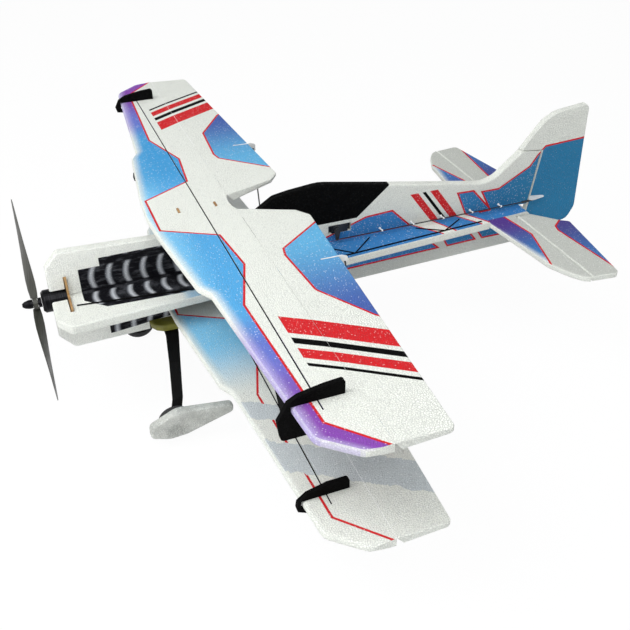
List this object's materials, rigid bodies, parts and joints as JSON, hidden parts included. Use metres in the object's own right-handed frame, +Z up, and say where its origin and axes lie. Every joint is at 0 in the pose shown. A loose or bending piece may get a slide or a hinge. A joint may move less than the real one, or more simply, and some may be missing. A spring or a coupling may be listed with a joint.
{
  "type": "rc biplane",
  "caption": "Foam plate radio control biplane with linked ailerons, elevator, rudder, wheeled landing gear and a tractor propeller.",
  "frame": {"origin": "middle of the bounding box at the ground under the wheels", "axes": "+X to the port wing tip, nose towards -Y, +Z up with the deck level"},
  "size_m": [0.92, 0.7948, 0.3054],
  "materials": {
    "foam": "white expanded foam with printed colours",
    "black_foam": "black foam",
    "carbon": "woven carbon",
    "plywood": "bare ply",
    "olive_plastic": "olive moulding",
    "wheel_foam": "black foam tyre",
    "motor_steel": "turned metal",
    "motor_black": "black anodised",
    "prop_plastic": "dark moulded",
    "servo_case": "translucent dark case",
    "black_plastic": "black moulded",
    "white_plastic": "white moulded",
    "battery_wrap": "shrink wrap"
  },
  "bodies": {
    "airframe": {"aileron_servo": "servo_case", "battery": "battery_wrap", "deck": "foam", "deck_lattice_left": "carbon", "deck_lattice_right": "carbon", "elevator_servo": "servo_case", "front_cabane": "plywood", "gear_legs": "carbon", "gear_saddle": "olive_plastic", "lower_clip_left": "black_foam", "lower_clip_right": "black_foam", "lower_profile": "foam", "lower_spar": "carbon", "lower_wing": "foam", "motor_base": "motor_black", "motor_mount": "plywood", "rear_cabane": "plywood", "receiver": "black_plastic", "root_brace": "plywood", "rudder_servo": "servo_case", "speed_controller": "black_plastic", "tailplane": "foam", "upper_clip_left": "black_foam", "upper_clip_right": "black_foam", "upper_profile": "foam", "upper_spar": "carbon", "upper_wing": "foam", "wheel_pant_left": "foam", "wheel_pant_right": "foam"},
    "rotor": {"motor_can": "motor_steel", "prop_adapter": "motor_steel", "propeller": "prop_plastic", "prop_nut": "motor_black"},
    "wheel_left": {"wheel_left": "wheel_foam"},
    "wheel_right": {"wheel_right": "wheel_foam"},
    "upper_aileron_left": {"upper_aileron_left": "foam", "upper_link_horn_left": "white_plastic"},
    "upper_aileron_right": {"upper_aileron_right": "foam", "upper_link_horn_right": "white_plastic"},
    "lower_aileron_left": {"lower_aileron_left": "foam", "lower_link_horn_left": "white_plastic", "drive_horn_left": "white_plastic"},
    "lower_aileron_right": {"lower_aileron_right": "foam", "lower_link_horn_right": "white_plastic", "drive_horn_right": "white_plastic"},
    "link_rod_left": {"link_rod_left": "black_plastic"},
    "link_rod_right": {"link_rod_right": "black_plastic"},
    "aileron_arm": {"aileron_arm": "black_plastic"},
    "aileron_pushrod_left": {"aileron_pushrod_left": "black_plastic"},
    "aileron_pushrod_right": {"aileron_pushrod_right": "black_plastic"},
    "elevator": {"elevator_left": "foam", "elevator_right": "foam", "elevator_joiner": "motor_steel", "elevator_horn": "white_plastic"},
    "elevator_arm": {"elevator_arm": "black_plastic"},
    "elevator_pushrod": {"elevator_pushrod": "black_plastic"},
    "rudder": {"rudder": "foam", "rudder_horn": "white_plastic"},
    "rudder_arm": {"rudder_arm": "black_plastic"},
    "rudder_pushrod": {"rudder_pushrod": "black_plastic"}
  },
  "joints": [
    {"name": "propeller_spin", "type": "hinge", "parent": "airframe", "child": "rotor", "pos_m": [0, -0.38185, 0.163], "axis": [0, 1, 0], "continuous": true},
    {"name": "wheel_left_spin", "type": "hinge", "parent": "airframe", "child": "wheel_left", "pos_m": [0.112, -0.25055, 0.0225], "axis": [1, 0, 0], "continuous": true},
    {"name": "wheel_right_spin", "type": "hinge", "parent": "airframe", "child": "wheel_right", "pos_m": [-0.112, -0.25055, 0.0225], "axis": [1, 0, 0], "continuous": true},
    {"name": "upper_aileron_left_hinge", "type": "hinge", "parent": "airframe", "child": "upper_aileron_left", "pos_m": [0, -0.12905, 0.252], "axis": [1, 0, 0], "range_deg": [-22, 22]},
    {"name": "upper_aileron_right_hinge", "type": "hinge", "parent": "airframe", "child": "upper_aileron_right", "pos_m": [0, -0.12905, 0.252], "axis": [1, 0, 0], "range_deg": [-22, 22]},
    {"name": "lower_aileron_left_hinge", "type": "hinge", "parent": "airframe", "child": "lower_aileron_left", "pos_m": [0, -0.12005, 0.13], "axis": [1, 0, 0], "range_deg": [-22, 22]},
    {"name": "lower_aileron_right_hinge", "type": "hinge", "parent": "airframe", "child": "lower_aileron_right", "pos_m": [0, -0.12005, 0.13], "axis": [1, 0, 0], "range_deg": [-22, 22]},
    {"name": "link_rod_left_pivot", "type": "hinge", "parent": "upper_aileron_left", "child": "link_rod_left", "pos_m": [0.168, -0.04755, 0.2405], "axis": [1, 0, 0], "range_deg": [-22, 22]},
    {"name": "link_rod_right_pivot", "type": "hinge", "parent": "upper_aileron_right", "child": "link_rod_right", "pos_m": [-0.168, -0.04755, 0.2405], "axis": [1, 0, 0], "range_deg": [-22, 22]},
    {"name": "aileron_arm_turn", "type": "hinge", "parent": "airframe", "child": "aileron_arm", "pos_m": [0, -0.16605, 0.092], "axis": [0, 0, 1], "range_deg": [-28.29, 28.29]},
    {"name": "aileron_pushrod_left_slide", "type": "slide", "parent": "airframe", "child": "aileron_pushrod_left", "axis": [0, 1, 0], "range_m": [-0.00691, 0.00691]},
    {"name": "aileron_pushrod_right_slide", "type": "slide", "parent": "airframe", "child": "aileron_pushrod_right", "axis": [0, 1, 0], "range_m": [-0.00691, 0.00691]},
    {"name": "elevator_hinge", "type": "hinge", "parent": "airframe", "child": "elevator", "pos_m": [0, 0.27545, 0.163], "axis": [1, 0, 0], "range_deg": [-30, 30]},
    {"name": "elevator_arm_turn", "type": "hinge", "parent": "airframe", "child": "elevator_arm", "pos_m": [-0.04, 0.08495, 0.17505], "axis": [1, 0, 0], "range_deg": [-38.57, 38.57]},
    {"name": "elevator_pushrod_slide", "type": "slide", "parent": "airframe", "child": "elevator_pushrod", "axis": [0, 1, 0], "range_m": [-0.00942, 0.00942]},
    {"name": "rudder_hinge", "type": "hinge", "parent": "airframe", "child": "rudder", "pos_m": [0, 0.30915, 0.163], "axis": [0, 0.1338, 0.991], "range_deg": [-30, 30]},
    {"name": "rudder_arm_turn", "type": "hinge", "parent": "airframe", "child": "rudder_arm", "pos_m": [0.011, 0.00945, 0.187], "axis": [1, 0, 0], "range_deg": [-35, 35]},
    {"name": "rudder_pushrod_slide", "type": "slide", "parent": "airframe", "child": "rudder_pushrod", "axis": [0, 1, 0], "range_m": [-0.00733, 0.00733]}
  ],
  "couplings": [
    {"joint": "lower_aileron_left_hinge", "follows": "upper_aileron_left_hinge", "ratio": 1},
    {"joint": "upper_aileron_right_hinge", "follows": "upper_aileron_left_hinge", "ratio": -1},
    {"joint": "lower_aileron_right_hinge", "follows": "upper_aileron_left_hinge", "ratio": -1},
    {"joint": "link_rod_left_pivot", "follows": "upper_aileron_left_hinge", "ratio": -1},
    {"joint": "link_rod_right_pivot", "follows": "upper_aileron_left_hinge", "ratio": 1},
    {"joint": "aileron_arm_turn", "follows": "upper_aileron_left_hinge", "ratio": 1.2857},
    {"joint": "aileron_pushrod_left_slide", "follows": "upper_aileron_left_hinge", "m_per_rad": 0.018},
    {"joint": "aileron_pushrod_right_slide", "follows": "upper_aileron_left_hinge", "m_per_rad": -0.018},
    {"joint": "elevator_arm_turn", "follows": "elevator_hinge", "ratio": 1.2857},
    {"joint": "elevator_pushrod_slide", "follows": "elevator_hinge", "m_per_rad": -0.018},
    {"joint": "rudder_arm_turn", "follows": "rudder_hinge", "ratio": 1.1667},
    {"joint": "rudder_pushrod_slide", "follows": "rudder_hinge", "m_per_rad": 0.014}
  ]
}
